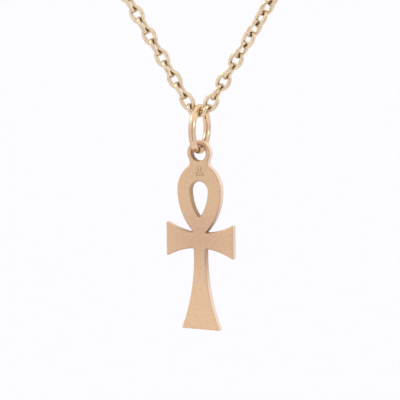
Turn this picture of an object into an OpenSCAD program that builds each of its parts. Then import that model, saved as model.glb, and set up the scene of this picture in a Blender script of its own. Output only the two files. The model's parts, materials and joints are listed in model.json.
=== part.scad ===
// Ankh pendant on a cable chain, hanging as it is worn.
// The origin is where the chain crosses the nape of the neck, +Z is up and -Y is the front.

/* [Plate] */
// Thickness of the pendant's plate
plate_t = 1.25; // [1:0.05:1.5]
// Height of the middle of the arms above the foot of the stem
arm_rise = 15.35; // [14:0.05:17]
// Height of the loop's widest place above the middle of the arms
loop_rise = 8.55; // [8:0.05:9.5]
// Height of the eyelet's centre above the loop's widest place
eyelet_rise = 6.4; // [6:0.05:7]

/* [Stem] */
// Width of the stem where it leaves the arms
stem_w = 2.4; // [2:0.05:2.8]
// Width of the stem's foot
foot_w = 7.35; // [6.5:0.05:8]
// Radius of the stem's hollow sides
stem_side_r = 33; // [28:0.5:60]

/* [Arms] */
// Width across the ends of both arms
arm_span = 12.7; // [11:0.1:14]
// Height of an arm at its end
arm_end_h = 6.05; // [5.5:0.05:6.6]
// Height of an arm at the crossing
arm_root_h = 2.76; // [2.4:0.02:3.2]
// Radius of the arms' hollow edges
arm_edge_r = 12.8; // [11:0.1:20]

/* [Loop] */
// Width of the loop at its widest place
loop_w = 8.34; // [7.8:0.02:9]
// Radius of the loop's sides above its widest place
loop_top_r = 5.15; // [4.8:0.05:5.6]
// Radius of the round top of the drop-shaped opening
opening_r = 1.58; // [1.3:0.02:1.9]
// Depth of the opening's tip below the loop's widest place
opening_tip = 4.6; // [4:0.05:5.2]

/* [Eyelet] */
// Outer radius of the eyelet
eyelet_r = 2.2; // [2.05:0.01:2.4]
// Radius of the eyelet's bore
eyelet_bore_r = 1.3; // [1.15:0.01:1.45]
// Width of the neck between the loop and the eyelet
neck_w = 3.55; // [3:0.05:3.9]

/* [Jump ring] */
// Wire of the jump ring
ring_wire = 1.24; // [0.9:0.01:1.3]
// Radius of the jump ring to the middle of its wire
ring_r = 3.6; // [3.4:0.02:4]
// Angle of the jump ring's plane, away from square to the plate
ring_turn = 5.9; // [0:0.1:8]

/* [Chain] */
// Length of the whole necklace
necklace_l = 457; // [400:1:500]
// Wire of a link
wire = 0.62; // [0.48:0.01:0.66]
// Outer length of a link
link_l = 3.51; // [3.3:0.01:3.8]
// Outer width of a link
link_w = 2.6; // [2.5:0.01:2.8]
// Space between two pieces that hang in each other
hang_gap = 0.12; // [0.11:0.01:0.16]
// Half of the angle between the chain's two sides in front
v_angle = 33; // [28:0.5:38]
// Angle by which the face of the front links turns to the wearer's left
front_turn = 2; // [0:1:8]

/* [Middle link] */
// Radius of the bend in the middle of the link that carries the jump ring
saddle_r = 1.59; // [1.5:0.01:1.8]
// Angle by which each end of that link is bent up
saddle_angle = 61; // [55:0.5:66]

/* [Twist of the right side] */
// Angle by which the twisted stretch is turned about the chain
twist = -30; // [-45:1:45]
// Last link before the chain starts to twist
twist_from = 4; // [2:1:6]
// Number of links over which it turns in
twist_in = 4; // [2:1:8]
// Last link of the twisted stretch
twist_to = 12; // [8:1:20]
// Number of links over which it turns back
twist_out = 8; // [4:1:12]

/* [Clasp] */
// Wire of the clasp's ring
clasp_wire = 1; // [0.9:0.05:1.2]
// Radius of the clasp's ring to the middle of its wire
clasp_r = 2.5; // [2.3:0.05:3]
// Wire of the clasp's eye
eye_wire = 0.8; // [0.7:0.05:0.9]
// Radius of the clasp's eye to the middle of its wire
eye_r = 0.95; // [0.9:0.05:1.2]

/* [Hidden] */
gold = [0.86, 0.73, 0.6];
round_fn = 96;
bend_fn = 32;
wire_fn = 16;

// Points along each arc of the plate's outline
arc_steps = 20;

// Heights on the plate, from the foot of the stem
loop_z = arm_rise + loop_rise;
eyelet_z = loop_z + eyelet_rise;
crossing_top = arm_rise + arm_root_h / 2;
crossing_foot = arm_rise - arm_root_h / 2;

// A link, from its own middle
bend_r = (link_w - wire) / 2;
straight = link_l - link_w;
reach = (link_l - wire) / 2;
pitch = 2 * reach - wire - hang_gap;

// The middle link, from the lowest place between its two legs
saddle_half = saddle_r * sin(saddle_angle) + bend_r * cos(saddle_angle);
saddle_rise = saddle_r * (1 - cos(saddle_angle)) + bend_r * sin(saddle_angle);

// The chain's way along one side: distances from the point of the V, and counts of links
first_link = saddle_half / sin(v_angle) + reach - wire - hang_gap;
clasp_hold = (clasp_wire + wire) / 2 + hang_gap;
eye_hold = (eye_wire + wire) / 2 + hang_gap;
clasp_out = clasp_r - clasp_hold + reach;
eye_out = clasp_r + 2 * eye_r - eye_hold + reach;
last_link = (clasp_out + eye_out) / 2;
links = 2 * round((necklace_l / 2 - first_link - last_link + pitch) / (2 * pitch));
side_l = first_link + (links - 1) * pitch + last_link;

// Points of the chain's right side, for a necklace about 490 long: the straight start and the way round
front_point = [0, -110, -120];
side_way = [sin(v_angle), 0, cos(v_angle)];
start_step = 30;
round_neck = [[52, -98, -44], [64, -76, -24], [64, -46, -12], [50, -18, -5], [28, -3, -1], [0, 0, 0]];
route = concat([for (k = [0 : 2]) front_point + k * start_step * side_way], round_neck);
neck_axis_y = -55;
turn_start = 45;
turn_end = 90;

// A smooth curve through the route, scaled to the length of one side
route_steps = 24;
before = [for (k = [0 : len(route) - 1]) k == 0 ? route[0] - start_step * side_way : route[k - 1]];
past_nape = [-round_neck[4].x, round_neck[4].y, round_neck[4].z];
after = [for (k = [0 : len(route) - 1]) k == len(route) - 1 ? past_nape : route[k + 1]];
curve = [
    for (k = [0 : len(route) - 2], t = [0 : 1 / route_steps : 1 - 0.5 / route_steps])
        spline_point(before[k], route[k], route[k + 1], after[k + 1], t),
    route[len(route) - 1]
];
lengths = running_sum([for (k = [1 : len(curve) - 1]) norm(curve[k] - curve[k - 1])]);
route_scale = side_l / lengths[len(lengths) - 1];
route_x = [for (k = [0 : len(curve) - 1]) [lengths[k] * route_scale, curve[k].x * route_scale]];
route_y = [for (k = [0 : len(curve) - 1]) [lengths[k] * route_scale, curve[k].y * route_scale]];
route_z = [for (k = [0 : len(curve) - 1]) [lengths[k] * route_scale, curve[k].z * route_scale]];

// Stations along the wire of the middle link, with the direction that the link's flat side faces there
wire_sides = 12;
bend_step = 15;
leg_steps = 10;
leg_end = saddle_r * [sin(saddle_angle), 0, 1 - cos(saddle_angle)];
half_way = concat(
    [
        for (a = [-90 : bend_step : 90])
            [leg_end + raised(bend_r * [cos(a), sin(a), 0], saddle_angle), raised([0, 0, 1], saddle_angle)]
    ],
    [
        for (k = [1 : leg_steps - 1])
            let(a = saddle_angle * (1 - 2 * k / leg_steps))
            [[saddle_r * sin(a), bend_r, saddle_r * (1 - cos(a))], raised([0, 0, 1], a)]
    ]
);
stations = concat(half_way, [for (s = half_way) [for (v = s) [-v.x, -v.y, v.z]]]);

// Where the pieces hang under the point of the V
v_point = front_point * route_scale;
leg_z = v_point.z + saddle_half / tan(v_angle) - saddle_rise;
ring_hold = ring_r * cos(ring_turn) - (ring_wire + wire) / 2 - hang_gap;
ring_z = leg_z - sqrt(pow(ring_hold, 2) - pow(bend_r, 2));
ring_arch = ring_r - sqrt(pow(ring_r, 2) - pow(plate_t / 2, 2));
eyelet_hold = eyelet_bore_r - ring_wire / 2 - hang_gap - ring_arch;
plate_z = ring_z - ring_r - eyelet_hold - eyelet_z;

function running_sum(steps) = [
    for (k = 0, total = 0; k <= len(steps); total = total + (k < len(steps) ? steps[k] : 0), k = k + 1) total
];

// Point of a smooth curve between b and c, with a before and d after them
function spline_point(a, b, c, d, t) =
    b + t * (c - a) / 2 + t * t * (a - 2.5 * b + 2 * c - d / 2) + t * t * t * (1.5 * (b - c) + (d - a) / 2);

// A vector turned about the Y axis so that +X rises by the angle a
function raised(v, a) = [v.x * cos(a) - v.z * sin(a), v.y, v.x * sin(a) + v.z * cos(a)];

// Point on the middle link's wire, and its number in the list of points
function wire_point(k, side) =
    let(count = len(stations))
    let(along = unit(stations[(k + 1) % count][0] - stations[(k + count - 1) % count][0]))
    let(across = unit(cross(along, stations[k][1])))
    let(face = cross(across, along))
    let(a = 360 * side / wire_sides)
    stations[k][0] + wire / 2 * (cos(a) * across + sin(a) * face);

function wire_index(k, side) = (k % len(stations)) * wire_sides + side % wire_sides;

function route_at(s) = [lookup(s, route_x), lookup(s, route_y), lookup(s, route_z)];

function unit(v) = v / norm(v);

function share(v, low, high) = min(max((v - low) / (high - low), 0), 1);

// Place on one side of the chain, with side 1 for the right and -1 for the left
function side_point(side, s) = let(p = route_at(s)) [side * p.x, p.y, p.z];

function link_place(k) = first_link + (k - 1) * pitch;

// Direction that the flat side of an uneven link faces: forward in front, outward round the neck
function face_dir(side, s) =
    let(p = side_point(side, s))
    let(outward = unit([p.x, p.y - neck_axis_y * route_scale, 0]))
    let(forward = [sin(front_turn), -cos(front_turn), 0])
    let(blend = share(s, turn_start, turn_end))
    unit((1 - blend) * forward + blend * outward);

function twist_at(k) =
    k <= twist_to
        ? twist * share(k, twist_from, twist_from + twist_in)
        : twist * (1 - share(k, twist_to, twist_to + twist_out));

// Points of an arc with radius r from p up to q, without q: its centre is on the left of the way (side 1)
// or on its right (side -1)
function arc(p, q, r, side) =
    let(half = norm(q - p) / 2)
    let(centre = (p + q) / 2 + side * [p.y - q.y, q.x - p.x] / (2 * half) * sqrt(r * r - half * half))
    let(start = atan2(p.y - centre.y, p.x - centre.x))
    let(turn = 2 * side * asin(half / r))
    [for (k = [0 : arc_steps - 1]) centre + r * [cos(start + turn * k / arc_steps), sin(start + turn * k / arc_steps)]];

function reversed(list) = [for (k = [len(list) - 1 : -1 : 0]) list[k]];

function mirrored(list) = [for (p = reversed(list)) [-p.x, p.y]];

// The plate's outline without the eyelet, from the foot of the stem up the right side and down the left
module plate_face() {
    foot = [foot_w / 2, 0];
    root = [stem_w / 2, crossing_foot];
    tip = [arm_span / 2, arm_rise - arm_end_h / 2];
    tip_top = [arm_span / 2, arm_rise + arm_end_h / 2];
    root_top = [stem_w / 2, crossing_top];
    wide = [loop_w / 2, loop_z];
    neck = [neck_w / 2, loop_z + sqrt(pow(loop_top_r, 2) - pow(loop_top_r - (loop_w - neck_w) / 2, 2))];
    waist_in = wide.x - root_top.x;
    low_r = (pow(waist_in, 2) + pow(wide.y - root_top.y, 2)) / (2 * waist_in);
    right_side = concat(
        arc(foot, root, stem_side_r, -1),
        arc(root, tip, arm_edge_r, -1),
        [tip],
        arc(tip_top, root_top, arm_edge_r, -1),
        arc(root_top, wide, low_r, 1),
        arc(wide, neck, loop_top_r, 1),
        [neck, [neck.x, eyelet_z]]
    );
    polygon(concat(right_side, mirrored(right_side)));
}

// The drop-shaped opening: a round top and two long arcs that meet at the tip
module opening_face() {
    tip = [0, loop_z - opening_tip];
    side = [opening_r, loop_z];
    tip_r = (pow(opening_tip, 2) + pow(opening_r, 2)) / (2 * opening_r);
    right_side = concat(arc(tip, side, tip_r, 1), arc(side, [0, loop_z + opening_r], opening_r, 1));
    left_side = mirrored([for (k = [1 : len(right_side) - 1]) right_side[k]]);
    polygon(concat(right_side, [[0, loop_z + opening_r]], left_side));
}

module ankh() {
    color(gold)
        translate([0, v_point.y, plate_z])
            rotate([90, 0, 0])
                linear_extrude(height = plate_t, center = true)
                    difference() {
                        union() {
                            plate_face();
                            translate([0, eyelet_z])
                                circle(r = eyelet_r, $fn = round_fn);
                        }
                        opening_face();
                        translate([0, eyelet_z])
                            circle(r = eyelet_bore_r, $fn = round_fn);
                    }
}

module torus(r, wire_d) {
    rotate_extrude($fn = round_fn)
        translate([r, 0])
            circle(d = wire_d, $fn = bend_fn);
}

module jump_ring() {
    color(gold)
        translate([0, v_point.y, ring_z])
            rotate([0, 90, ring_turn])
                torus(ring_r, ring_wire);
}

// A link along X, with its flat side facing Z
module link() {
    for (turn = [0, 180]) {
        rotate([0, 0, turn - 90])
            translate([0, straight / 2])
                rotate_extrude(angle = 180, $fn = bend_fn)
                    translate([bend_r, 0])
                        circle(d = wire, $fn = wire_fn);
        rotate([turn, 90, 0])
            translate([0, bend_r])
                cylinder(d = wire, h = straight, center = true, $fn = wire_fn);
    }
}

// The middle link: two legs bent down round the jump ring, joined by a half turn at each end
module centre_link() {
    color(gold)
        translate([0, v_point.y, leg_z])
            polyhedron(
                points = [for (k = [0 : len(stations) - 1], side = [0 : wire_sides - 1]) wire_point(k, side)],
                faces = [
                    for (k = [0 : len(stations) - 1], side = [0 : wire_sides - 1]) [
                        wire_index(k, side),
                        wire_index(k, side + 1),
                        wire_index(k + 1, side + 1),
                        wire_index(k + 1, side)
                    ]
                ]
            );
}

module chain(side, twisted) {
    for (k = [1 : links]) {
        s = link_place(k);
        at = side_point(side, s);
        along = unit(side_point(side, s + pitch / 2) - side_point(side, s - pitch / 2));
        face = unit(cross(cross(along, face_dir(side, s)), along));
        across = cross(face, along);
        turn = (k % 2 == 0 ? 90 : 0) + (twisted ? twist_at(k) : 0);
        y_dir = cos(turn) * across + sin(turn) * face;
        z_dir = cross(along, y_dir);
        multmatrix([
            [along.x, y_dir.x, z_dir.x, at.x],
            [along.y, y_dir.y, z_dir.y, at.y],
            [along.z, y_dir.z, z_dir.z, at.z]
        ])
            link();
    }
}

module chain_left() {
    color(gold)
        chain(-1, false);
}

module chain_right() {
    color(gold)
        chain(1, true);
}

// The clasp: a plain ring for the right end and a small eye for the left end
module clasp() {
    color(gold)
        translate([last_link - clasp_out, 0, 0])
            rotate([90, 0, 0]) {
                torus(clasp_r, clasp_wire);
                translate([-clasp_r - eye_r, 0])
                    torus(eye_r, eye_wire);
            }
}

ankh();
jump_ring();
centre_link();
chain_left();
chain_right();
clasp();
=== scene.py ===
"""An ankh pendant in rose-tinted gold, hanging by a jump ring from a cable chain.

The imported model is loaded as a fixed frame. Each operator makes one piece or a pair of them, or gives its
finish to a piece that stays. The last one sets the floor, the light and the camera.
"""

import json
import math

import bmesh
import bpy
import numpy
from bpy.props import FloatProperty, FloatVectorProperty, PointerProperty
from bpy.types import Operator, Panel, PropertyGroup
from mathutils import Matrix, Vector


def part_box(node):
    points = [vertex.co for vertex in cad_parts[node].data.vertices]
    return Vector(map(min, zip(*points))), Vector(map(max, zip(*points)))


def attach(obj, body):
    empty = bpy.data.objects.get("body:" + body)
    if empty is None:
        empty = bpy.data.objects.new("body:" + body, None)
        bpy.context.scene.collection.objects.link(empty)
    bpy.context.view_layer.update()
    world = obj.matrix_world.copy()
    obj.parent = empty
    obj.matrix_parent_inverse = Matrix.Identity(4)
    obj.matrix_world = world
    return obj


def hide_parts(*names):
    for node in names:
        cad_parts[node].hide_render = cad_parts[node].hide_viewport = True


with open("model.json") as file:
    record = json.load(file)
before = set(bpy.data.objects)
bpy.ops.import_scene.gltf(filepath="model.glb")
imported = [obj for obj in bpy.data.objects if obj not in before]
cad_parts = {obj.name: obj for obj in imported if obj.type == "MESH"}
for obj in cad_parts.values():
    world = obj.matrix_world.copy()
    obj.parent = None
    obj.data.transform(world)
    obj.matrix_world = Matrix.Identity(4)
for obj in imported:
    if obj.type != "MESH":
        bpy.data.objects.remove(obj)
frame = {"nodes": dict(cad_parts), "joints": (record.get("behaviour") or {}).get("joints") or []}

bl_info = {
    "name": "Ankh Pendant",
    "version": (1, 0, 0),
    "blender": (4, 5, 0),
    "location": "3D View > Sidebar > Ankh",
    "description": "Dresses the packed ankh pendant, its jump ring and its chain in gold",
    "category": "Object",
}

JOINTS = {joint["name"]: joint for joint in frame["joints"]}
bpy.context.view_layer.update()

# Steps across the plate's rounded rim, and round a small corner of its outline
EDGE_STEPS = 5
CORNER_STEPS = 5

# Steps round a wire, round the jump ring, round each end of the middle link and along each of its sides
WIRE_SIDES = 40
RING_STEPS = 240
BEND_STEPS = 36
LEG_STEPS = 24

# Steps round the wire of a chain link, and round the link
LINK_SIDES = 20
LINK_STEPS = 44

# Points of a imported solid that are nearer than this, in metres, are one point
MERGE_GAP = 1e-7

# How straight a face of the plate looks forward if it belongs to the front
FRONT_SHARE = 0.99

# Turns of an outline that count as corners, and edges that are shaded sharp
CORNER_LIMIT = math.radians(18)
SHARP_EDGE = math.radians(32)

# The least of its reach, and the most of a side, over which a corner is eased
LEAST_EASING = 0.15
MOST_EASING = 0.45

# The plate's materials: its face and outer walls, the walls of its openings in painted shade, and its marks
FACE_GOLD = 0
SHADED_OPENING_GOLD = 1
MARK_GOLD = 2

# Height of the crossing, as a share of the plate's
CROSSING_SHARE = 0.49

# The middle of each mark, across and up, and half its width and height, as shares of the mark size
MARKS = (
    ((-0.42, 0.95), (0.24, 0.7)),
    ((0.42, 0.95), (0.24, 0.7)),
    ((-0.95, -0.55), (0.33, 0.45)),
    ((0.0, -0.55), (0.33, 0.45)),
    ((0.95, -0.55), (0.33, 0.45)),
)

# Shift of the marks to the right in metres, and how far their walls slope in as a share of their size
MARK_SHIFT = 0.0002
MARK_SLOPE = 0.11

# Half the gap in the ring's seam and how far the rounded ends of its wire stand into it, in metres,
# and the width of those ends as a share of the wire's
SEAM_GAP = 0.00002
SEAM_LIP = 0.000012
LIP_SHARE = 0.94

# Half the width of the floor and its divisions, and the steps up the dark strip
FLOOR_REACH = 8.0
FLOOR_STEPS = 24
FLAG_STEPS = 30

# The place that the lamps shine at, and the angle that their light spreads over
LAMP_TARGET = Vector((0, -0.102, -0.12))
LAMP_SPREAD = math.radians(50)

# Each lamp's name, the way to it, its distance and width in metres, its power in watts and its colour
LAMPS = (
    ("upper_left_softbox", Vector((-0.75, -0.35, 0.62)), 0.7, 0.34, 0.125, (1.0, 0.9, 0.66)),
    ("right_strip", Vector((0.9, -0.1, 0.25)), 0.8, 0.2, 0.03, (1.0, 0.97, 0.94)),
)

# Width of the camera's sensor in millimetres, and its aim right of the plate's foot and above it in metres
SENSOR_WIDTH = 36.0
AIM_RIGHT = -0.00035
AIM_UP = 0.02202

# Numbers of a Mix node's factor, two colours and blended colour, whose names other sockets share
MIX_FACTOR = 0
MIX_FIRST = 6
MIX_SECOND = 7
MIX_COLOUR = 2


class Value:
    """The value of a socket, on which Python arithmetic adds Math nodes."""

    def __init__(self, finish, socket):
        self.finish = finish
        self.socket = socket

    def math(self, operation, first, second):
        """Adds a Math node on two values or numbers."""
        return self.finish.node("ShaderNodeMath", {"operation": operation}, {0: first, 1: second})

    def __add__(self, other):
        return self.math("ADD", self, other)

    def __radd__(self, other):
        return self.math("ADD", other, self)

    def __sub__(self, other):
        return self.math("SUBTRACT", self, other)

    def __rsub__(self, other):
        return self.math("SUBTRACT", other, self)

    def __mul__(self, other):
        return self.math("MULTIPLY", self, other)

    def __rmul__(self, other):
        return self.math("MULTIPLY", other, self)


class Finish:
    """The node tree of one material or of the world, built one node at a time."""

    def __init__(self, owner):
        self.owner = owner
        owner.use_nodes = True
        self.tree = owner.node_tree
        self.tree.nodes.clear()

    def node(self, kind, settings=None, inputs=None, output=0):
        """Adds a node with its settings and then its sockets, and gives back one of its outputs."""
        node = self.tree.nodes.new(kind)
        for name, value in (settings or {}).items():
            if name == "stops":
                self.set_stops(node.color_ramp, value)
            else:
                setattr(node, name, value)
        for name, value in (inputs or {}).items():
            if isinstance(value, Value):
                self.tree.links.new(value.socket, node.inputs[name])
            else:
                node.inputs[name].default_value = value
        return Value(self, node.outputs[output]) if len(node.outputs) else node

    @staticmethod
    def set_stops(ramp, stops):
        """Sets a ramp's stops, each a position and a grey."""
        while len(ramp.elements) < len(stops):
            ramp.elements.new(1.0)
        for element, (position, grey) in zip(ramp.elements, stops):
            element.position = position
            element.color = (grey, grey, grey, 1.0)

    def place(self):
        """The place on the piece, in metres along its own axes."""
        return self.node("ShaderNodeTexCoord", output="Object")

    def noise(self, scale, detail, stretch=(1.0, 1.0, 1.0), turn=(0.0, 0.0, 0.0)):
        """Cloudy noise from 0 to 1, stretched along the piece's axes and turned."""
        where = self.node(
            "ShaderNodeMapping",
            {"vector_type": "TEXTURE"},
            {"Vector": self.place(), "Scale": stretch, "Rotation": turn},
        )
        return self.node("ShaderNodeTexNoise", inputs={"Vector": where, "Scale": scale, "Detail": detail})

    def ramp(self, factor, *stops):
        """The factor read off a ramp of greys, each stop a position and a grey."""
        return self.node("ShaderNodeValToRGB", {"stops": stops}, {"Fac": factor})

    def share(self, value, start, end):
        """0 where the value is at the start, changing to 1 where it is at the end."""
        return self.node("ShaderNodeMapRange", inputs={"Value": value, "From Min": start, "From Max": end})

    def facing(self):
        """1 where the surface looks straight to the front or the back of the piece, and 0 on its walls."""
        normal = self.node("ShaderNodeTexCoord", output="Normal")
        forward = self.node("ShaderNodeSeparateXYZ", inputs={0: normal}, output="Y")
        return self.node("ShaderNodeMath", {"operation": "ABSOLUTE"}, {0: forward})

    def blend(self, factor, first, second, way="MIX"):
        """The first colour, changing to the second as the factor goes from 0 to 1."""
        settings = {"data_type": "RGBA", "blend_type": way}
        inputs = {MIX_FACTOR: factor, MIX_FIRST: first, MIX_SECOND: second}
        return self.node("ShaderNodeMix", settings, inputs, output=MIX_COLOUR)

    def near(self, centre, stretch, reach):
        """1 at a point of the piece, falling to 0 at the given reach, in metres."""
        offset = self.node(
            "ShaderNodeVectorMath", {"operation": "SUBTRACT"}, {0: self.place(), 1: centre}
        )
        scaled = self.node("ShaderNodeVectorMath", {"operation": "MULTIPLY"}, {0: offset, 1: stretch})
        away = self.node("ShaderNodeVectorMath", {"operation": "LENGTH"}, {0: scaled}, output="Value")
        return self.node(
            "ShaderNodeMapRange",
            {"interpolation_type": "SMOOTHSTEP"},
            {"Value": away, "From Min": 0.0, "From Max": reach, "To Min": 1.0, "To Max": 0.0},
        )

    def shelter(self, reach):
        """0 on open metal, rising towards 1 where other metal stands within the reach, in metres."""
        clear = self.node("ShaderNodeAmbientOcclusion", {"samples": 12}, {"Distance": reach}, output="AO")
        return 1 - clear

    def bump(self, height, distance):
        """Relief from a height, as deep as the distance in metres."""
        return self.node("ShaderNodeBump", inputs={"Height": height, "Distance": distance, "Strength": 1.0})

    def metal(self, colour, roughness, normal, edge):
        """Ends the material as a metal that takes the edge tint where it is seen at a flat angle."""
        return self.surface(
            {
                "Base Color": colour,
                "Metallic": 1.0,
                "Roughness": roughness,
                "Specular Tint": opaque(edge),
                "Normal": normal,
            }
        )

    def surface(self, sockets):
        """Ends the material with its shader, and gives back the material."""
        shader = self.node("ShaderNodeBsdfPrincipled", inputs=sockets)
        self.node("ShaderNodeOutputMaterial", inputs={"Surface": shader})
        return self.owner


def opaque(colour):
    """The colour with full cover, as a socket takes it."""
    return (*colour, 1.0)


def satin_gold(name, plate, painted_wall_tone):
    """The plate's gold: satin, rosier about the crossing, duller at the neck, warmer down the stem."""
    finish = Finish(bpy.data.materials.new(name))
    low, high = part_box("ankh")
    middle = (low.x + high.x) / 2
    foot = Vector((middle, low.y, low.z))
    top = Vector((middle, low.y, high.z))
    crossing = Vector((middle, low.y, low.z + CROSSING_SHARE * (high.z - low.z)))

    # Tones from place to place, and a fine grain over them
    cloud = finish.noise(scale=330.0, detail=3.0)
    rosy = finish.near(crossing, stretch=(1.0, 1.0, 1.05), reach=0.0085) * (0.55 + 0.5 * cloud)
    tint = finish.blend(rosy, opaque(plate.gold), opaque(plate.blush))
    warm = finish.near(foot, stretch=(1.0, 1.0, 0.8), reach=0.015)
    tint = finish.blend(warm * 0.6, tint, opaque(plate.warm))
    shaded = finish.near(top, stretch=(1.0, 1.0, 0.8), reach=0.011)
    tint = finish.blend(shaded * 0.8, tint, opaque(plate.shade))
    grain = finish.noise(scale=2600.0, detail=4.0, stretch=(1.0, 1.0, 1.8), turn=(0.0, 0.7, 0.0))
    tint = finish.blend(finish.ramp(grain, (0.42, 0.0), (0.62, 1.0)), tint, opaque(plate.grain), "MULTIPLY")

    # Walls and rims painted paler for the sheen they catch, with painted shade on them about the crossing
    # and painted shade in the tight corners
    facing = finish.facing()
    wall = finish.share(facing, 0.8, 0.25)
    rim = finish.share(facing, 0.985, 0.8)
    # Painted shade on the walls and rims about the crossing, where the arms meet the stem
    crossing_shade = finish.near(crossing, stretch=(1.0, 0.5, 0.75), reach=0.0075)
    side = finish.blend(crossing_shade * 0.85, opaque(painted_wall_tone), opaque(plate.crossing_wall_shade))
    tint = finish.blend(0.12 * rim + 0.88 * wall, tint, side)
    tint = finish.blend(crossing_shade * rim * 0.5, tint, opaque(plate.crossing_wall_shade))
    # Painted shade in the tight corners, where other metal stands near
    corner = finish.ramp(finish.shelter(0.0022), (0.16, 0.0), (0.5, 1.0))
    tint = finish.blend(corner * 0.85, tint, opaque(plate.corner_shade))

    # Brushed lines, a few scratches and a faint swell
    lines = finish.noise(scale=9000.0, detail=3.0, stretch=(9.0, 1.0, 1.0), turn=(0.0, 0.5, 0.0))
    scratches = finish.noise(scale=2600.0, detail=1.0, stretch=(1.0, 1.0, 20.0), turn=(0.0, -0.7, 0.0))
    scratches = finish.ramp(scratches, (0.62, 0.0), (0.7, 1.0))
    roughness = 0.28 + 0.08 * cloud + 0.06 * lines + 0.05 * scratches + 0.45 * (rim * (1 - wall))
    relief = 0.6 * lines + 0.25 * scratches
    swell = finish.bump(finish.noise(scale=260.0, detail=1.0), 0.000012)
    fine = finish.node(
        "ShaderNodeBump", inputs={"Height": relief, "Distance": 0.0000012, "Strength": 1.0, "Normal": swell}
    )
    return finish.metal(tint, roughness, fine, plate.edge_tint)


def polished_gold(name, bright, deep, hollow_shade, edge, roughness, reach, relief=0.000003, glow=None):
    """Polished gold: faintly cloudy, with hair-fine wear, and painted shade in its hollows.

    A glow is a painted highlight: a centre, a reach and a colour, which the gold takes near the centre."""
    finish = Finish(bpy.data.materials.new(name))
    cloud = finish.noise(scale=900.0, detail=2.0)
    wear = finish.noise(scale=3200.0, detail=2.0, stretch=(1.0, 1.0, 3.0))
    wear = finish.ramp(wear, (0.55, 0.0), (0.72, 1.0))
    tint = finish.blend(finish.ramp(cloud, (0.35, 0.0), (0.68, 1.0)), opaque(bright), opaque(deep))
    # Painted highlight, yellower towards the glow's centre
    if glow:
        centre, highlight_reach, highlight_yellow = glow
        tint = finish.blend(finish.near(centre, (1.0, 1.0, 1.0), highlight_reach), tint, opaque(highlight_yellow))
    # Painted shade where other metal stands near
    hollows = finish.ramp(finish.shelter(reach), (0.27, 0.0), (0.66, 1.0))
    tint = finish.blend(hollows, tint, opaque(hollow_shade))
    rough = roughness + 0.04 * cloud + 0.05 * wear
    return finish.metal(tint, rough, finish.bump(cloud + 0.3 * wear, relief), edge)


def chain_gold(name, chain):
    """The polished gold of the links and the clasp."""
    return polished_gold(
        name, chain.bright, chain.deep, chain.hollow_shade, chain.edge_tint, roughness=0.18, reach=0.0007
    )


def matt(name, scale, detail, dark, light, roughness):
    """Paper or cloth, faintly clouded from its dark tone to its light one."""
    finish = Finish(bpy.data.materials.new(name))
    tone = finish.blend(finish.noise(scale, detail), opaque(dark), opaque(light))
    return finish.surface({"Base Color": tone, "Roughness": roughness})


def around(points):
    """Each point of a closed outline with the points before and after it."""
    return zip(points[-1:] + points[:-1], points, points[1:] + points[:1])


def signed_area(points):
    """The area inside an outline, below 0 where it runs clockwise."""
    return sum(before.x * point.y - point.x * before.y for before, point, _ in around(points)) / 2


def face_outlines(node):
    """The outlines of a plate's front face as (x, z) points, the outer one first.

    The metal lies to the left of each."""
    mesh = bmesh.new()
    mesh.from_mesh(node.data)
    bmesh.ops.remove_doubles(mesh, verts=mesh.verts, dist=MERGE_GAP)
    mesh.normal_update()
    front = {face for face in mesh.faces if face.normal.y < -FRONT_SHARE}
    steps = {}
    for edge in mesh.edges:
        if sum(face in front for face in edge.link_faces) == 1:
            for here, there in (edge.verts, reversed(edge.verts)):
                steps.setdefault(here, []).append(there)
    outlines = []
    while steps:
        start = here = next(iter(steps))
        last = None
        outline = []
        while here in steps:
            outline.append(Vector((here.co.x, here.co.z)))
            ways = steps.pop(here)
            last, here = here, next((way for way in ways if way != last and way in steps), start)
        outlines.append(outline)
    mesh.free()
    if len(outlines) != 3:
        raise RuntimeError(f"the plate's front has {len(outlines)} outlines and not 3")
    outlines.sort(key=lambda outline: -abs(signed_area(outline)))

    # Seen from the front, the outer outline runs anticlockwise and both openings run clockwise
    turned = []
    for outline, sign in zip(outlines, (1, -1, -1)):
        turned.append(outline if signed_area(outline) * sign > 0 else outline[::-1])
    return turned


def turns_sharply(before, corner, after):
    """Whether an outline has a corner there, and not only the next step of a curve."""
    return (corner - before).angle(after - corner) > CORNER_LIMIT


def thinned(points, clearance):
    """The outline without the points that stand closer than the clearance to a sharp corner."""
    corners = [corner for before, corner, after in around(points) if turns_sharply(before, corner, after)]
    return [
        point
        for point in points
        if all(point == corner or (point - corner).length > clearance for corner in corners)
    ]


def eased(points, reach, distance):
    """The outline moved inwards by the distance, with a small curve in place of each sharp corner.

    It has as many points at every distance."""
    result = []
    for (before, corner, after), (old_before, old_corner, old_after) in zip(
        around(inset(points, distance)), around(points)
    ):
        if not turns_sharply(old_before, old_corner, old_after):
            result.append(corner)
            continue
        outward = (old_corner - old_before).cross(old_after - old_corner) > 0
        near = max(reach - distance, LEAST_EASING * reach) if outward else reach + distance
        back = before - corner
        on = after - corner
        start = corner + back.normalized() * min(near, MOST_EASING * back.length)
        end = corner + on.normalized() * min(near, MOST_EASING * on.length)
        for step in range(CORNER_STEPS + 1):
            share = step / CORNER_STEPS
            rest = 1 - share
            result.append(rest**2 * start + 2 * share * rest * corner + share * share * end)
    return result


def inset(points, distance):
    """The outline moved to the left of its way by the distance, or to its right where that is negative."""
    result = []
    for before, point, after in around(points):
        first = (point - before).normalized()
        second = (after - point).normalized()
        first = Vector((-first.y, first.x))
        second = Vector((-second.y, second.x))
        result.append(point + (first + second) * (distance / (1 + first.dot(second))))
    return result


def add_outline(mesh, points, depth):
    """Adds the points of an outline at a depth from front to back."""
    return [mesh.verts.new((point.x, depth, point.y)) for point in points]


def add_band(mesh, first, second, material=0):
    """Joins two outlines of equal length with a strip of faces."""
    for here in range(len(first)):
        there = (here + 1) % len(first)
        mesh.faces.new((first[here], first[there], second[there], second[here])).material_index = material


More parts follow.
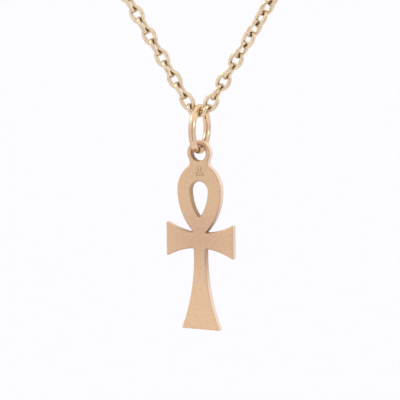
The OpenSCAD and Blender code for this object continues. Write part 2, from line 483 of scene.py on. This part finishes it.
def fill_between(mesh, outlines):
    """Fills the flat area between an outer outline and the holes in it."""
    mesh.edges.ensure_lookup_table()
    edges = []
    for outline in outlines:
        for here, vert in enumerate(outline):
            other = outline[(here + 1) % len(outline)]
            edges.append(mesh.edges.get((vert, other)) or mesh.edges.new((vert, other)))
    bmesh.ops.triangle_fill(mesh, use_beauty=True, edges=edges)


def to_data(mesh, name, *materials):
    """Turns a mesh in the making into mesh data with its materials."""
    data = bpy.data.meshes.new(name)
    mesh.to_mesh(data)
    mesh.free()
    for material in materials:
        data.materials.append(material)
    return data


def add_object(name, data):
    """Puts a mesh, a light or a lens into the scene."""
    thing = bpy.data.objects.new(name, data)
    bpy.context.scene.collection.objects.link(thing)
    return thing


def to_piece(mesh, name, body, materials, slot, *nodes):
    """Makes the piece from its mesh, shades it, sets what it rides on, and hides the imported nodes in its
    place.
    """
    bmesh.ops.recalc_face_normals(mesh, faces=mesh.faces)
    data = to_data(mesh, name, *materials)
    data.shade_smooth()
    data.set_sharp_from_angle(angle=SHARP_EDGE)
    piece = add_object(name, data)
    weighted = piece.modifiers.new("even_shading", "WEIGHTED_NORMAL")
    weighted.keep_sharp = True
    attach(piece, body)
    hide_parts(*nodes)


def mark_outlines(centre, size):
    """Two rows of plain punch marks: two upright bars above three small blocks."""
    marks = []
    for middle, half in MARKS:
        corners = [
            centre + size * Vector((middle[0] + across * half[0], middle[1] + up * half[1]))
            for across, up in ((1, 1), (1, -1), (-1, -1), (-1, 1))
        ]
        marks.append(corners)
    return marks


def swept_wire(mesh, stations, radius, closed):
    """A round wire along its stations.

    A station is a point, a way across the wire there, and a share of the radius."""
    rings = []
    count = len(stations)
    for here, (point, face, share) in enumerate(stations):
        before = stations[(here - 1) % count if closed else max(here - 1, 0)][0]
        after = stations[(here + 1) % count if closed else min(here + 1, count - 1)][0]
        along = (after - before).normalized()
        across = along.cross(face).normalized()
        up = across.cross(along)
        ring = []
        for side in range(WIRE_SIDES):
            angle = 2 * math.pi * side / WIRE_SIDES
            out = math.cos(angle) * across + math.sin(angle) * up
            ring.append(mesh.verts.new(point + radius * share * out))
        rings.append(ring)
    for first, second in zip(rings, rings[1:]):
        add_band(mesh, first, second)
    if closed:
        add_band(mesh, rings[-1], rings[0])
    else:
        mesh.faces.new(rings[0])
        mesh.faces.new(rings[-1])


def middle_link_stations(chain):
    """Half of the middle link from one end round to the other, then the same turned half round."""
    bend = (chain.middle_width - chain.link_wire) / 2
    lean = chain.saddle_angle
    leg_end = Vector((chain.saddle_radius * math.sin(lean), 0, chain.saddle_radius * (1 - math.cos(lean))))
    raised = Matrix.Rotation(-lean, 3, "Y")
    half = []
    for step in range(BEND_STEPS + 1):
        angle = math.pi * (step / BEND_STEPS - 0.5)
        point = leg_end + raised @ Vector((bend * math.cos(angle), bend * math.sin(angle), 0))
        half.append((point, raised @ Vector((0, 0, 1)), 1.0))
    for step in range(1, LEG_STEPS):
        angle = lean * (1 - 2 * step / LEG_STEPS)
        point = Vector(
            (chain.saddle_radius * math.sin(angle), bend, chain.saddle_radius * (1 - math.cos(angle)))
        )
        half.append((point, Matrix.Rotation(-angle, 3, "Y") @ Vector((0, 0, 1)), 1.0))
    turned = Matrix.Rotation(math.pi, 3, "Z")
    return half + [(turned @ point, turned @ face, share) for point, face, share in half]


def chain_links(node):
    """The place and the size of each link in a node.

    In a link's own frame x goes through its face, y across it and z along it."""
    mesh = bmesh.new()
    mesh.from_mesh(node.data)
    bmesh.ops.remove_doubles(mesh, verts=mesh.verts, dist=MERGE_GAP)
    links = []
    for start in mesh.verts:
        if start.tag:
            continue
        start.tag = True
        found = [start]

        # The list grows while it is read, until every joined point is in it
        for vert in found:
            for edge in vert.link_edges:
                other = edge.other_vert(vert)
                if not other.tag:
                    other.tag = True
                    found.append(other)
        points = numpy.array([vert.co for vert in found])
        middle = points.mean(axis=0)
        _, ways = numpy.linalg.eigh(numpy.cov((points - middle).T))
        size = numpy.ptp((points - middle) @ ways, axis=0)
        links.append((Matrix.Translation(middle.tolist()) @ Matrix(ways.tolist()).to_4x4(), size))
    mesh.free()
    return links


def squared(angle, squareness):
    """The point of a unit circle at an angle, moved out towards a square where squareness is over 2."""
    point = (math.cos(angle), math.sin(angle))
    return [math.copysign(abs(share) ** (2 / squareness), share) for share in point]


def link_sections(chain, width, length):
    """Sections of a link's wire, slightly flattened, one after the other round the link."""
    inner = Vector((width / 2 - chain.leg_band, length / 2 - chain.link_wire))
    outer = Vector((width / 2, inner.y + chain.end_band))
    sections = []
    for step in range(LINK_STEPS):
        across, along = squared(2 * math.pi * step / LINK_STEPS, chain.link_oval)
        section = []
        for side in range(LINK_SIDES):
            out, depth = squared(2 * math.pi * side / LINK_SIDES, chain.squareness)
            reach = inner.lerp(outer, (1 + out) / 2)
            section.append(Vector((chain.link_wire / 2 * depth, reach.x * across, reach.y * along)))
        sections.append(section)
    return sections


def way_to(azimuth, elevation):
    """The way out from the pendant, round to the right from its front by one angle and up by the other."""
    flat = math.cos(elevation)
    return Vector((math.sin(azimuth) * flat, -math.cos(azimuth) * flat, math.sin(elevation)))


class PlateSettings(PropertyGroup):
    """Edges, marks and gold of the ankh's plate."""

    edge_radius: FloatProperty(
        name="Edge Radius",
        description="Rounding along the rims of the plate",
        default=0.0003,
        min=0.00005,
        max=0.0004,
        unit="LENGTH",
        precision=5,
    )
    corner_reach: FloatProperty(
        name="Corner Reach",
        description="Length over which each sharp corner of the outline is eased",
        default=0.00034,
        min=0.00005,
        max=0.0005,
        unit="LENGTH",
        precision=5,
    )
    mark_size: FloatProperty(
        name="Mark Size",
        description="Size of the small punch marks under the eyelet",
        default=0.0006,
        min=0.0002,
        max=0.0008,
        unit="LENGTH",
        precision=5,
    )
    mark_depth: FloatProperty(
        name="Mark Depth",
        description="Depth of the punch marks",
        default=0.00008,
        min=0.00002,
        max=0.0002,
        unit="LENGTH",
        precision=5,
    )
    mark_drop: FloatProperty(
        name="Mark Drop",
        description="Distance of the marks below the plate's top",
        default=0.0054,
        min=0.005,
        max=0.007,
        unit="LENGTH",
        precision=5,
    )
    gold: FloatVectorProperty(
        name="Gold",
        description="Colour of the plate's gold",
        subtype="COLOR",
        size=3,
        default=(0.735, 0.507, 0.326),
    )
    blush: FloatVectorProperty(
        name="Blush",
        description="Rosier gold about the crossing",
        subtype="COLOR",
        size=3,
        default=(0.625, 0.412, 0.287),
    )
    warm: FloatVectorProperty(
        name="Warm Foot",
        description="Yellower gold of the foot",
        subtype="COLOR",
        size=3,
        default=(0.84, 0.59, 0.385),
    )
    shade: FloatVectorProperty(
        name="Shade",
        description="Duller gold of the neck",
        subtype="COLOR",
        size=3,
        default=(0.665, 0.46, 0.3),
    )
    # Painted sheen: the outer walls are painted paler for the light that they catch
    wall: FloatVectorProperty(
        name="Walls",
        description="Paler gold of the plate's outer walls",
        subtype="COLOR",
        size=3,
        default=(0.835, 0.685, 0.57),
    )
    grain: FloatVectorProperty(
        name="Grain",
        description="Tint of the fine cloudy grain, by which the gold is multiplied",
        subtype="COLOR",
        size=3,
        default=(0.94, 0.92, 0.88),
    )
    # Painted shade on the walls about the crossing
    crossing_wall_shade: FloatVectorProperty(
        name="Crossing Wall Shade",
        description="Browner gold of the walls about the crossing",
        subtype="COLOR",
        size=3,
        default=(0.4, 0.28, 0.195),
    )
    edge_tint: FloatVectorProperty(
        name="Edge Tint",
        description="Tint of the gold where it is seen at a flat angle",
        subtype="COLOR",
        size=3,
        default=(0.85, 0.78, 0.7),
    )
    # Painted shade on the walls of the openings
    opening_wall_shade: FloatVectorProperty(
        name="Inner Wall Shade",
        description="Brown gold of the walls of its openings",
        subtype="COLOR",
        size=3,
        default=(0.44, 0.295, 0.21),
    )
    mark: FloatVectorProperty(
        name="Marks",
        description="Darker gold inside the marks",
        subtype="COLOR",
        size=3,
        default=(0.5, 0.33, 0.215),
    )
    # Painted shade in the plate's tight corners and in the hollows of its marks
    corner_shade: FloatVectorProperty(
        name="Corner Shade",
        description="Brown of its tight corners",
        subtype="COLOR",
        size=3,
        default=(0.31, 0.215, 0.16),
    )


class RingSettings(PropertyGroup):
    """Wire, seam and gold of the jump ring."""

    wire: FloatProperty(
        name="Wire",
        description="Thickness of the jump ring's wire",
        default=0.00124,
        min=0.0009,
        max=0.0013,
        unit="LENGTH",
        precision=5,
    )
    seam_height: FloatProperty(
        name="Seam Height",
        description="Height of the closed seam above the ring's middle, on its back leg",
        default=0.00035,
        min=-0.002,
        max=0.002,
        unit="LENGTH",
        precision=5,
    )
    seam_step: FloatProperty(
        name="Seam Step",
        description="How far the two ends of the wire miss each other at the seam",
        default=0.00006,
        min=0.0,
        max=0.0001,
        unit="LENGTH",
        precision=5,
    )
    bright: FloatVectorProperty(
        name="Gold",
        description="Colour of the ring's gold",
        subtype="COLOR",
        size=3,
        default=(0.76, 0.54, 0.38),
    )
    deep: FloatVectorProperty(
        name="Deep Gold",
        description="Gold of its cloudy places",
        subtype="COLOR",
        size=3,
        default=(0.68, 0.47, 0.32),
    )
    # Painted highlight: the yellower gold of the ring's upper part
    highlight_yellow: FloatVectorProperty(
        name="Highlight Yellow",
        description="Gold of its upper part",
        subtype="COLOR",
        size=3,
        default=(0.88, 0.68, 0.39),
    )
    edge_tint: FloatVectorProperty(
        name="Edge Tint",
        description="Tint of the gold where it is seen at a flat angle",
        subtype="COLOR",
        size=3,
        default=(0.7, 0.62, 0.56),
    )
    # Painted shade where the ring is sheltered
    hollow_shade: FloatVectorProperty(
        name="Hollow Shade",
        description="Brown where it is sheltered",
        subtype="COLOR",
        size=3,
        default=(0.62, 0.44, 0.29),
    )


class ChainSettings(PropertyGroup):
    """Sizes of the links, and the gold of the chain and the clasp."""

    link_wire: FloatProperty(
        name="Link Wire",
        description="Thickness of a link's wire",
        default=0.00062,
        min=0.0004,
        max=0.0008,
        unit="LENGTH",
        precision=5,
    )
    leg_band: FloatProperty(
        name="Side Band",
        description="Width of a link's wire along its sides, as seen on its face",
        default=0.0007,
        min=0.0005,
        max=0.00071,
        unit="LENGTH",
        precision=5,
    )
    end_band: FloatProperty(
        name="End Band",
        description="Width of a link's wire at its ends, as seen on its face",
        default=0.00056,
        min=0.0005,
        max=0.00062,
        unit="LENGTH",
        precision=5,
    )
    link_oval: FloatProperty(
        name="Oval",
        description="How full the oval of a link is, from 2 for an ellipse",
        default=2.2,
        min=2.0,
        max=3.0,
    )
    squareness: FloatProperty(
        name="Squareness",
        description="How flat the wire of a link is, from 2 for a round one",
        default=2.5,
        min=2.0,
        max=4.0,
    )
    middle_width: FloatProperty(
        name="Middle Link Width",
        description="Outer width of the link that carries the jump ring",
        default=0.0026,
        min=0.0025,
        max=0.003,
        unit="LENGTH",
        precision=5,
    )
    saddle_radius: FloatProperty(
        name="Saddle Radius",
        description="Radius of the bend in the middle of that link",
        default=0.00159,
        min=0.0013,
        max=0.0018,
        unit="LENGTH",
        precision=5,
    )
    saddle_angle: FloatProperty(
        name="Saddle Angle",
        description="Angle by which each end of that link is bent up",
        default=math.radians(61),
        subtype="ANGLE",
    )
    bright: FloatVectorProperty(
        name="Gold",
        description="Colour of the chain's gold",
        subtype="COLOR",
        size=3,
        default=(0.83, 0.68, 0.5),
    )
    deep: FloatVectorProperty(
        name="Deep Gold",
        description="Gold of its cloudy places",
        subtype="COLOR",
        size=3,
        default=(0.67, 0.54, 0.37),
    )
    edge_tint: FloatVectorProperty(
        name="Edge Tint",
        description="Tint of the gold where it is seen at a flat angle",
        subtype="COLOR",
        size=3,
        default=(0.7, 0.62, 0.56),
    )
    # Painted shade where links meet
    hollow_shade: FloatVectorProperty(
        name="Hollow Shade",
        description="Brown where links meet",
        subtype="COLOR",
        size=3,
        default=(0.32, 0.225, 0.12),
    )


class StageSettings(PropertyGroup):
    """Floor, light and camera."""

    azimuth: FloatProperty(
        name="Azimuth",
        description="Way round to the camera",
        default=math.radians(26.74),
        subtype="ANGLE",
    )
    elevation: FloatProperty(
        name="Elevation",
        description="Height of the camera",
        default=math.radians(8.42),
        subtype="ANGLE",
    )
    roll: FloatProperty(
        name="Roll",
        description="Tilt of the camera",
        default=math.radians(0.7),
        subtype="ANGLE",
    )
    distance: FloatProperty(
        name="Distance",
        description="Distance of the camera from the pendant",
        default=0.474,
        unit="LENGTH",
    )
    view_width: FloatProperty(
        name="View Width",
        description="Width of the picture at the pendant",
        default=0.06827,
        unit="LENGTH",
        precision=5,
    )
    floor_drop: FloatProperty(
        name="Floor Drop",
        description="Space between the pendant and the floor",
        default=0.16,
        unit="LENGTH",
    )
    tent_light: FloatProperty(
        name="Tent Light",
        description="Brightness of the light tent",
        default=1.08,
    )
    backdrop: FloatVectorProperty(
        name="Backdrop",
        description="Pale tone of the tent in the picture",
        subtype="COLOR",
        size=3,
        default=(0.97, 0.96, 0.995),
    )
    flag_width: FloatProperty(
        name="Flag Width",
        description="Angle across the dark strip",
        default=math.radians(15),
        subtype="ANGLE",
    )
    flag_low: FloatProperty(
        name="Flag Foot",
        description="Angle down to the strip's foot",
        default=math.radians(-50),
        subtype="ANGLE",
    )
    flag_high: FloatProperty(
        name="Flag Head",
        description="Angle up to the strip's head",
        default=math.radians(40),
        subtype="ANGLE",
    )
    flag_reach: FloatProperty(
        name="Flag Reach",
        description="Distance of the strip from the pendant",
        default=0.16,
        unit="LENGTH",
    )


class ANKH_OT_plate(Operator):
    """Makes the ankh's plate with rounded rims and small punch marks"""

    bl_idname = "ankh.plate"
    bl_label = "Ankh Plate"

    def execute(self, context):
        plate = context.scene.ankh_plate
        low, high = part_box("ankh")
        mesh = bmesh.new()
        front_edges = []
        back_edges = []
        for number, outline in enumerate(face_outlines(frame["nodes"]["ankh"])):
            outline = thinned(outline, 2 * plate.edge_radius)
            front = self.rounded_rim(mesh, plate, outline, low.y, 1)
            back = self.rounded_rim(mesh, plate, outline, high.y, -1)
            layers = front + back[::-1]
            for first, second in zip(layers, layers[1:]):
                add_band(mesh, first, second, FACE_GOLD if number == 0 else SHADED_OPENING_GOLD)
            front_edges.append(front[0])
            back_edges.append(back[0])
        centre = Vector(((low.x + high.x) / 2 + MARK_SHIFT, high.z - plate.mark_drop))
        for mark in mark_outlines(centre, plate.mark_size):
            front_edges.append(self.sink_mark(mesh, plate, mark, low.y))
        fill_between(mesh, front_edges)
        fill_between(mesh, back_edges)
        to_piece(mesh, "ankh_plate", "pendant", self.golds(plate), "plate_gold", "ankh")
        return {"FINISHED"}

    def rounded_rim(self, mesh, plate, outline, depth, inwards):
        """The outlines across a rounded rim, from the flat face at a depth to the wall."""
        radius = plate.edge_radius
        layers = []
        for step in range(EDGE_STEPS + 1):
            angle = math.pi / 2 * (1 - step / EDGE_STEPS)
            moved = eased(outline, plate.corner_reach, radius * (1 - math.cos(angle)))
            layers.append(add_outline(mesh, moved, depth + inwards * radius * (1 - math.sin(angle))))
        return layers

    def sink_mark(self, mesh, plate, mark, depth):
        """Sinks one mark into the face, with sloping walls, and gives back its upper edge."""
        edge = add_outline(mesh, mark, depth)
        bottom = add_outline(mesh, inset(mark, -MARK_SLOPE * plate.mark_size), depth + plate.mark_depth)
        add_band(mesh, edge, bottom, MARK_GOLD)
        mesh.faces.new(bottom).material_index = MARK_GOLD
        return edge

    def golds(self, plate):
        """The plate's materials, in the order of their numbers."""
        mark_gold = polished_gold(
            "mark_gold",
            plate.mark,
            plate.shade,
            plate.corner_shade,
            plate.edge_tint,
            roughness=0.3,
            reach=0.0004,
        )
        return (
            satin_gold("satin_gold", plate, plate.wall),
            satin_gold("shaded_opening_gold", plate, plate.opening_wall_shade),
            mark_gold,
        )


class ANKH_OT_jump_ring(Operator):
    """Makes the jump ring from round wire, closed at a fine seam"""

    bl_idname = "ankh.jump_ring"
    bl_label = "Jump Ring"

    def execute(self, context):
        settings = context.scene.ankh_ring
        low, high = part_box("jump_ring")
        centre = (low + high) / 2
        radius = (high.z - low.z - settings.wire) / 2
        back = Vector(JOINTS["pendant_swing"]["axis"]).normalized()
        up = Vector((0, 0, 1))
        axis = back.cross(up)
        stations = []
        for angle, drift, share in self.turns(settings, radius):
            out = radius + settings.seam_step * drift
            spot = centre + out * (math.cos(angle) * back + math.sin(angle) * up)
            stations.append((spot, axis, share))
        mesh = bmesh.new()
        swept_wire(mesh, stations, settings.wire / 2, closed=False)
        top = Vector((centre.x, centre.y, high.z))
        # The ring's gold, with a painted highlight, yellower about its top, and painted shade where it is
        # sheltered
        gold = polished_gold(
            "ring_polish",
            settings.bright,
            settings.deep,
            settings.hollow_shade,
            settings.edge_tint,
            roughness=0.085,
            reach=0.0007,
            relief=0.0000006,
            glow=(top, 0.0068, settings.highlight_yellow),
        )
        to_piece(mesh, "jump_ring_wire", "ring", (gold,), "ring_gold", "jump_ring")
        return {"FINISHED"}

    def turns(self, settings, radius):
        """Angles once round the ring, each with its share of the seam's step and of the wire's width."""
        seam = math.asin(settings.seam_height / radius)
        gap = SEAM_GAP / radius
        lip = SEAM_LIP / radius
        turns = [(seam + gap - lip, -0.5, LIP_SHARE)]
        for step in range(RING_STEPS + 1):
            share = step / RING_STEPS
            turns.append((seam + gap + (2 * math.pi - 2 * gap) * share, share - 0.5, 1.0))
        turns.append((seam - gap + lip, 0.5, LIP_SHARE))
        return turns


class ANKH_OT_middle_link(Operator):
    """Makes the middle link, bent down round the jump ring"""

    bl_idname = "ankh.middle_link"
    bl_label = "Middle Link"

    def execute(self, context):
        chain = context.scene.ankh_chain
        origin = Vector((0, JOINTS["pendant_swing"]["pos_m"][1], JOINTS["ring_swing"]["pos_m"][2]))
        stations = [(origin + point, face, share) for point, face, share in middle_link_stations(chain)]
        mesh = bmesh.new()
        swept_wire(mesh, stations, chain.link_wire / 2, closed=True)
        gold = chain_gold("middle_link_polish", chain)
        to_piece(mesh, "middle_link_wire", "necklace", (gold,), "chain_gold", "centre_link")
        return {"FINISHED"}


class ANKH_OT_chain(Operator):
    """Makes the links of both sides of the chain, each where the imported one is"""

    bl_idname = "ankh.chain"
    bl_label = "Chain"

    def execute(self, context):
        chain = context.scene.ankh_chain
        gold = chain_gold("chain_polish", chain)
        for side in ("left", "right"):
            name = "chain_" + side
            mesh = bmesh.new()
            for place, (_, width, length) in chain_links(frame["nodes"][name]):
                rings = [
                    [mesh.verts.new(place @ point) for point in section]
                    for section in link_sections(chain, width, length)
                ]
                for first, second in zip(rings, rings[1:] + rings[:1]):
                    add_band(mesh, first, second)
            to_piece(mesh, side + "_links", "necklace", (gold,), "chain_gold", name)
        return {"FINISHED"}


class ANKH_OT_clasp(Operator):
    """Gives the clasp its polish"""

    bl_idname = "ankh.clasp"
    bl_label = "Clasp"

    def execute(self, context):
        chain = context.scene.ankh_chain
        gold = chain_gold("clasp_polish", chain)
        for slot in frame["nodes"]["clasp"].material_slots:
            slot.material = gold
        return {"FINISHED"}


class ANKH_OT_stage(Operator):
    """Sets the pale floor, the light tent, the lamps and the camera"""

    bl_idname = "ankh.stage"
    bl_label = "Stage"

    def execute(self, context):
        stage = context.scene.ankh_stage
        self.lay_floor(stage)
        self.hang_tent(context, stage)
        self.raise_flag(stage)
        self.place_lamps()
        self.place_camera(context, stage)
        context.scene.view_settings.view_transform = "Standard"
        return {"FINISHED"}

    def lay_floor(self, stage):
        """Lays pale paper well below the pendant."""
        low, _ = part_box("ankh")
        mesh = bmesh.new()
        bmesh.ops.create_grid(mesh, x_segments=FLOOR_STEPS, y_segments=FLOOR_STEPS, size=FLOOR_REACH)
        paper = matt(
            "pale_paper", 60.0, 4.0, dark=(0.895, 0.884, 0.92), light=(0.91, 0.899, 0.935), roughness=0.9
        )
        floor = add_object("floor", to_data(mesh, "floor", paper))
        floor.location = (0, 0, low.z - stage.floor_drop)

    def hang_tent(self, context, stage):
        """Lights the pendant from all round, and sets the tone that the camera sees behind it."""
        world = bpy.data.worlds.new("light_tent")
        context.scene.world = world
        finish = Finish(world)
        seen = finish.node("ShaderNodeLightPath", output="Is Camera Ray")
        cloth = finish.blend(seen, opaque([stage.tent_light] * 3), opaque(stage.backdrop))
        glow = finish.node("ShaderNodeBackground", inputs={"Color": cloth, "Strength": 1.0})
        finish.node("ShaderNodeOutputWorld", inputs={"Surface": glow})

    def raise_flag(self, stage):
        """Bends a dark strip of cloth round the lens, which the polished wire mirrors as a fine line."""
        centre = Vector(JOINTS["pendant_swing"]["pos_m"])
        half = stage.flag_width / 2
        mesh = bmesh.new()
        rows = []
        for step in range(FLAG_STEPS + 1):
            height = stage.flag_low + (stage.flag_high - stage.flag_low) * step / FLAG_STEPS
            row = []
            for turn in (-half, 0.0, half):
                out = stage.flag_reach * way_to(stage.azimuth + turn, height)
                row.append(mesh.verts.new(centre + out))
            rows.append(row)
        for lower, upper in zip(rows, rows[1:]):
            for here in range(2):
                mesh.faces.new((lower[here], lower[here + 1], upper[here + 1], upper[here]))
        cloth = matt(
            "dark_cloth", 400.0, 2.0, dark=(0.012, 0.011, 0.01), light=(0.02, 0.018, 0.016), roughness=1.0
        )
        flag = add_object("lens_flag", to_data(mesh, "lens_flag", cloth))
        flag.visible_camera = False
        flag.visible_shadow = False
        flag.visible_diffuse = False

    def place_lamps(self):
        """Hangs the soft lamps round the pendant, where the camera doesn't see them."""
        for name, way, distance, width, power, colour in LAMPS:
            light = bpy.data.lights.new(name, "AREA")
            light.shape = "SQUARE"
            light.size = width
            light.energy = power
            light.color = colour
            light.spread = LAMP_SPREAD
            lamp = add_object(name, light)
            lamp.location = LAMP_TARGET + distance * way.normalized()
            lamp.rotation_euler = (-way).to_track_quat("-Z", "Y").to_euler()
            lamp.visible_camera = False

    def place_camera(self, context, stage):
        """Aims the camera at the pendant from the front right, with a slight roll."""
        low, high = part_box("ankh")
        way = way_to(stage.azimuth, stage.elevation)
        right = Vector((math.cos(stage.azimuth), math.sin(stage.azimuth), 0))
        up = way.cross(right)
        tilt = Matrix.Rotation(-stage.roll, 3, way)
        foot = Vector(((low.x + high.x) / 2, (low.y + high.y) / 2, low.z))
        aim = foot + tilt @ (right * AIM_RIGHT + up * AIM_UP)
        lens = bpy.data.cameras.new("camera")
        lens.sensor_width = SENSOR_WIDTH
        lens.lens = SENSOR_WIDTH * stage.distance / stage.view_width
        camera = add_object("camera", lens)
        facing = Matrix((tilt @ right, tilt @ up, way)).transposed()
        camera.matrix_world = Matrix.Translation(aim + stage.distance * way) @ facing.to_4x4()
        context.scene.camera = camera


class ANKH_PT_pieces(Panel):
    """Lists the settings and operators of the pendant"""

    bl_idname = "ANKH_PT_pieces"
    bl_label = "Ankh Pendant"
    bl_space_type = "VIEW_3D"
    bl_region_type = "UI"
    bl_category = "Ankh"

    def draw(self, context):
        groups = (
            (context.scene.ankh_plate, (ANKH_OT_plate,)),
            (context.scene.ankh_ring, (ANKH_OT_jump_ring,)),
            (context.scene.ankh_chain, (ANKH_OT_middle_link, ANKH_OT_chain, ANKH_OT_clasp)),
            (context.scene.ankh_stage, (ANKH_OT_stage,)),
        )
        for settings, operators in groups:
            column = self.layout.box().column()
            for name in settings.bl_rna.properties.keys():
                if name not in ("rna_type", "name"):
                    column.prop(settings, name)
            for operator in operators:
                column.operator(operator.bl_idname)


SETTINGS = {
    "ankh_plate": PlateSettings,
    "ankh_ring": RingSettings,
    "ankh_chain": ChainSettings,
    "ankh_stage": StageSettings,
}
CLASSES = (
    *SETTINGS.values(),
    ANKH_OT_plate,
    ANKH_OT_jump_ring,
    ANKH_OT_middle_link,
    ANKH_OT_chain,
    ANKH_OT_clasp,
    ANKH_OT_stage,
    ANKH_PT_pieces,
)


def register():
    for cls in CLASSES:
        bpy.utils.register_class(cls)
    for name, cls in SETTINGS.items():
        setattr(bpy.types.Scene, name, PointerProperty(type=cls))


def unregister():
    for name in SETTINGS:
        delattr(bpy.types.Scene, name)
    for cls in reversed(CLASSES):
        bpy.utils.unregister_class(cls)


def main():
    """Makes every piece and the stage."""
    register()
    bpy.ops.ankh.plate()
    bpy.ops.ankh.jump_ring()
    bpy.ops.ankh.middle_link()
    bpy.ops.ankh.chain()
    bpy.ops.ankh.clasp()
    bpy.ops.ankh.stage()


if __name__ == "__main__":
    main()
